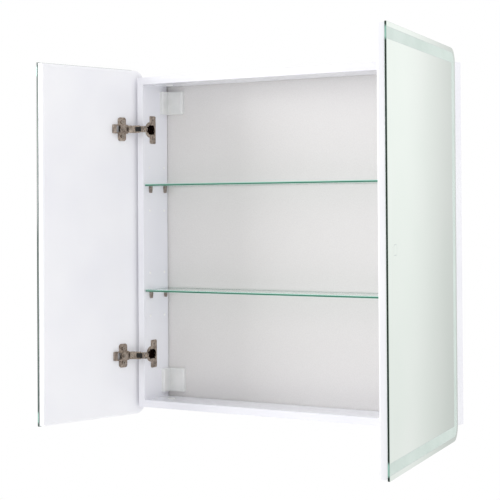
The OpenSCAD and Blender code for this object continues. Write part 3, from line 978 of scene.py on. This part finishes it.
@dataclass
class Hinges:
    """The two concealed hinges of one door."""

    side: Side
    finishes: FinishStore

    def build(self) -> None:
        """Dresses the hinge parts."""
        dark = PlatedSteel("hinge_nickel", "c6b9ac", "7d7065", 0.18, 0.32)
        link = PlatedSteel("link_nickel", "c4b6a8", "94877a", 0.2, 0.34)
        bright = PlatedSteel("bright_steel", "b9b0a6", "8f867c", 0.16, 0.3)
        # painted shade on the part of each cup that is sunk in its bore in the side panel
        cup = replace(dark, name="cup_nickel", hollow_from=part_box("right_side_panel")[0].x)
        for part, finish in (("hinge_cups", cup), ("cup_screws", bright), ("hinge_links", link),
                             ("cup_pins", bright), ("hinge_arms", dark), ("arm_pins", bright),
                             ("hinge_springs", bright), ("mounting_plates", dark),
                             ("plate_screws", bright), ("adjusting_screws", bright)):
            dress(f"{self.side.word}_{part}", self.finishes.get(finish))


@dataclass
class Door:
    """One door: board, adhesive sheet, mirror, light band, spring blocks and hinges."""

    side: Side
    finishes: FinishStore

    def build(self) -> None:
        """Builds the mirror and dresses the rest."""
        MirrorGlass(DoorPlace(self.side), self.finishes).build()
        board = Lacquer("door_lacquer", "fafafd", "f5f5fa")
        for part, finish in (("door_board", board),
                             ("mirror_tape", MouldedPlastic("adhesive_sheet", "f8fcfb", "eff6f4")),
                             ("light_diffuser", MouldedPlastic("opal_acrylic", "f1f6f4", "e6eeeb")),
                             ("led_strip", MouldedPlastic("light_strip", "f5f2e2", "ece6cc")),
                             ("spring_blocks", MouldedPlastic("black_nylon", "17140f", "0c0b09", 0.35, 0.5))):
            dress(f"{self.side.word}_{part}", self.finishes.get(finish))
        if self.side is Side.RIGHT:
            dress("touch_sensor", self.finishes.get(MouldedPlastic("circuit_board", "2f6b45", "235637")))
        Hinges(self.side, self.finishes).build()


# ---------------------------------------------------------------- room, light and camera


@dataclass
class Room:
    """A pale floor far below the hanging cabinet, and plain soft light.

    The light comes from above, below and the right, and from one softbox on the left. The
    spans are parts of a direction, between which one brightness turns into the next.
    """

    drop: float = 1.25
    reach: float = 2.6
    above: float = 0.98
    level_right: float = 0.88
    below: float = 1.4
    low_span: tuple[float, float] = (-0.3, -0.1)
    high_span: tuple[float, float] = (0.25, 0.45)
    right_span: tuple[float, float] = (-0.35, 0.15)
    gloss_span: tuple[float, float] = (-0.6, 0.6)
    gloss_low: float = 0.4
    gloss_high: float = 1.1
    far_span: tuple[float, float] = (0.6, 0.85)
    far_across: tuple[float, float] = (0.045, 0.09)
    far_up: tuple[float, float] = (-0.17, 0.12)
    far_left: float = 0.69
    far_low: float = 0.87
    box_place: Axes = (-2.8, -2.1, 0.8)
    box_size: float = 1.6
    box_power: float = 62.0

    def build(self) -> None:
        """Lays the floor and lights the room."""
        self.floor()
        self.surround()
        self.softbox("left_softbox", Vector(self.box_place), self.box_size, self.box_power)

    def floor(self) -> None:
        """Lays the floor."""
        low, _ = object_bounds()
        sheet = NodeSheet("pale_floor")
        speckle = sheet.noise(30.0)
        sheet.colour(sheet.ramp(speckle, [(0.3, linear("ebebea")), (0.7, linear("f3f3f2"))]))
        sheet.gloss(sheet.span(speckle, 0.55, 0.7))
        bm = bmesh.new()
        bmesh.ops.create_grid(bm, x_segments=4, y_segments=4, size=self.reach)
        mesh = bpy.data.meshes.new("floor")
        bm.to_mesh(mesh)
        bm.free()
        mesh.materials.append(sheet.material)
        floor = bpy.data.objects.new("floor", mesh)
        floor.location = (0, 0, low.z - self.drop)
        bpy.context.scene.collection.objects.link(floor)
        floor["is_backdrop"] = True
        log.info("floor laid %.2f m below the cabinet", self.drop)

    def surround(self) -> None:
        """Makes the plain surroundings: white to the eye, graded in what they light and what gloss shows."""
        world = bpy.data.worlds.new("studio")
        world.use_nodes = True
        tree = world.node_tree
        tree.nodes.clear()

        def add(kind: str) -> bpy.types.Node:
            """Adds a node."""
            return tree.nodes.new("ShaderNode" + kind)

        def step(value: bpy.types.NodeSocket, span: tuple[float, float],
                 low: float, high: float) -> bpy.types.NodeSocket:
            """Eases a direction's part from one brightness to another."""
            node = add("MapRange")
            node.interpolation_type = "SMOOTHSTEP"
            for name, number in (("From Min", span[0]), ("From Max", span[1]),
                                 ("To Min", low), ("To Max", high)):
                node.inputs[name].default_value = number
            tree.links.new(value, node.inputs["Value"])
            return node.outputs["Result"]

        def combine(operation: str, first: bpy.types.NodeSocket,
                    second: bpy.types.NodeSocket) -> bpy.types.NodeSocket:
            """Adds or multiplies two values."""
            node = add("Math")
            node.operation = operation
            tree.links.new(first, node.inputs[0])
            tree.links.new(second, node.inputs[1])
            return node.outputs[0]

        times = partial(combine, "MULTIPLY")
        plus = partial(combine, "ADD")
        parts = add("SeparateXYZ")
        tree.links.new(add("TexCoord").outputs["Generated"], parts.inputs["Vector"])
        across, height = parts.outputs["X"], parts.outputs["Z"]
        between = times(step(height, self.low_span, 0.0, 1.0), step(height, self.high_span, 1.0, 0.0))
        level = plus(times(between, step(across, self.right_span, 0.0, self.level_right)),
                     plus(step(height, self.high_span, 0.0, self.above),
                          step(height, self.low_span, self.below, 0.0)))
        far = times(step(across, self.far_across, self.far_left, 1.0),
                    step(height, self.far_up, self.far_low, 1.0))
        seen = add("Mix")
        tree.links.new(step(parts.outputs["Y"], self.far_span, 0.0, 1.0), seen.inputs["Factor"])
        tree.links.new(step(height, self.gloss_span, self.gloss_low, self.gloss_high), seen.inputs["A"])
        tree.links.new(far, seen.inputs["B"])
        lights = add("LightPath")

        def backdrop(strength: bpy.types.NodeSocket | None) -> bpy.types.NodeSocket:
            """Makes a white background of the given brightness."""
            node = add("Background")
            node.inputs["Color"].default_value = (1.0, 1.0, 1.0, 1.0)
            if strength is not None:
                tree.links.new(strength, node.inputs["Strength"])
            return node.outputs["Background"]

        def choose(test: str, other: bpy.types.NodeSocket,
                   chosen: bpy.types.NodeSocket) -> bpy.types.NodeSocket:
            """Takes one background for a kind of ray, and another for the rest."""
            node = add("MixShader")
            tree.links.new(lights.outputs[test], node.inputs["Fac"])
            tree.links.new(other, node.inputs[1])
            tree.links.new(chosen, node.inputs[2])
            return node.outputs["Shader"]

        shown = choose("Is Glossy Ray", backdrop(level), backdrop(seen.outputs["Result"]))
        shown = choose("Is Camera Ray", shown, backdrop(None))
        tree.links.new(shown, add("OutputWorld").inputs["Surface"])
        bpy.context.scene.world = world
        bpy.context.scene.view_settings.view_transform = "Standard"
        log.info("surroundings made")

    def softbox(self, name: str, place: Vector, size: float, power: float) -> None:
        """Hangs a soft square light that faces the cabinet.

        Args:
            name: The light's name.
            place: Where it hangs.
            size: Length of its sides.
            power: Its power, in watts.
        """
        light = bpy.data.lights.new(name, "AREA")
        light.size = size
        light.energy = power
        lamp = bpy.data.objects.new(name, light)
        lamp.location = place
        lamp.rotation_euler = (-place).to_track_quat("-Z", "Y").to_euler()
        lamp.visible_camera = False
        bpy.context.scene.collection.objects.link(lamp)
        log.info("%s hung", name)


@dataclass
class ViewCamera:
    """The camera, level with the cabinet's middle and to its right."""

    place: Vector = field(default_factory=lambda: Vector((1.6412, -2.8496, 0.0718)))
    yaw: float = 32.092
    pitch: float = 0.751
    roll: float = -0.374
    film: float = 36.0
    lens: float = 105.4512
    shift: float = -0.11798

    def build(self) -> None:
        """Places the camera."""
        yaw, pitch, roll = (math.radians(a) for a in (self.yaw, self.pitch, self.roll))
        ahead = Vector((-math.sin(yaw) * math.cos(pitch), math.cos(yaw) * math.cos(pitch), math.sin(pitch)))
        right = Vector((math.cos(yaw), math.sin(yaw), 0))
        up = right.cross(ahead)
        across = right * math.cos(roll) + up * math.sin(roll)
        upward = up * math.cos(roll) - right * math.sin(roll)
        data = bpy.data.cameras.new("view")
        data.sensor_width = self.film
        data.lens = self.lens
        data.shift_y = self.shift
        camera = bpy.data.objects.new("view", data)
        turn = Matrix((across, upward, -ahead)).transposed().to_4x4()
        camera.matrix_world = Matrix.Translation(self.place) @ turn
        bpy.context.scene.collection.objects.link(camera)
        bpy.context.scene.camera = camera
        log.info("camera placed")


def main() -> None:
    """Builds the cabinet's looks, the room and the camera."""
    logging.basicConfig(level=logging.INFO, format="%(message)s")
    finishes = FinishStore()
    ViewCamera().build()
    Room().build()
    Carcass(finishes).build()
    CornerCovers(finishes).build()
    LightSupply(finishes).build()
    for word in ("upper", "lower"):
        GlassShelf(word, finishes).build()
    for side in Side:
        Door(side, finishes).build()


if __name__ == "__main__":
    main()
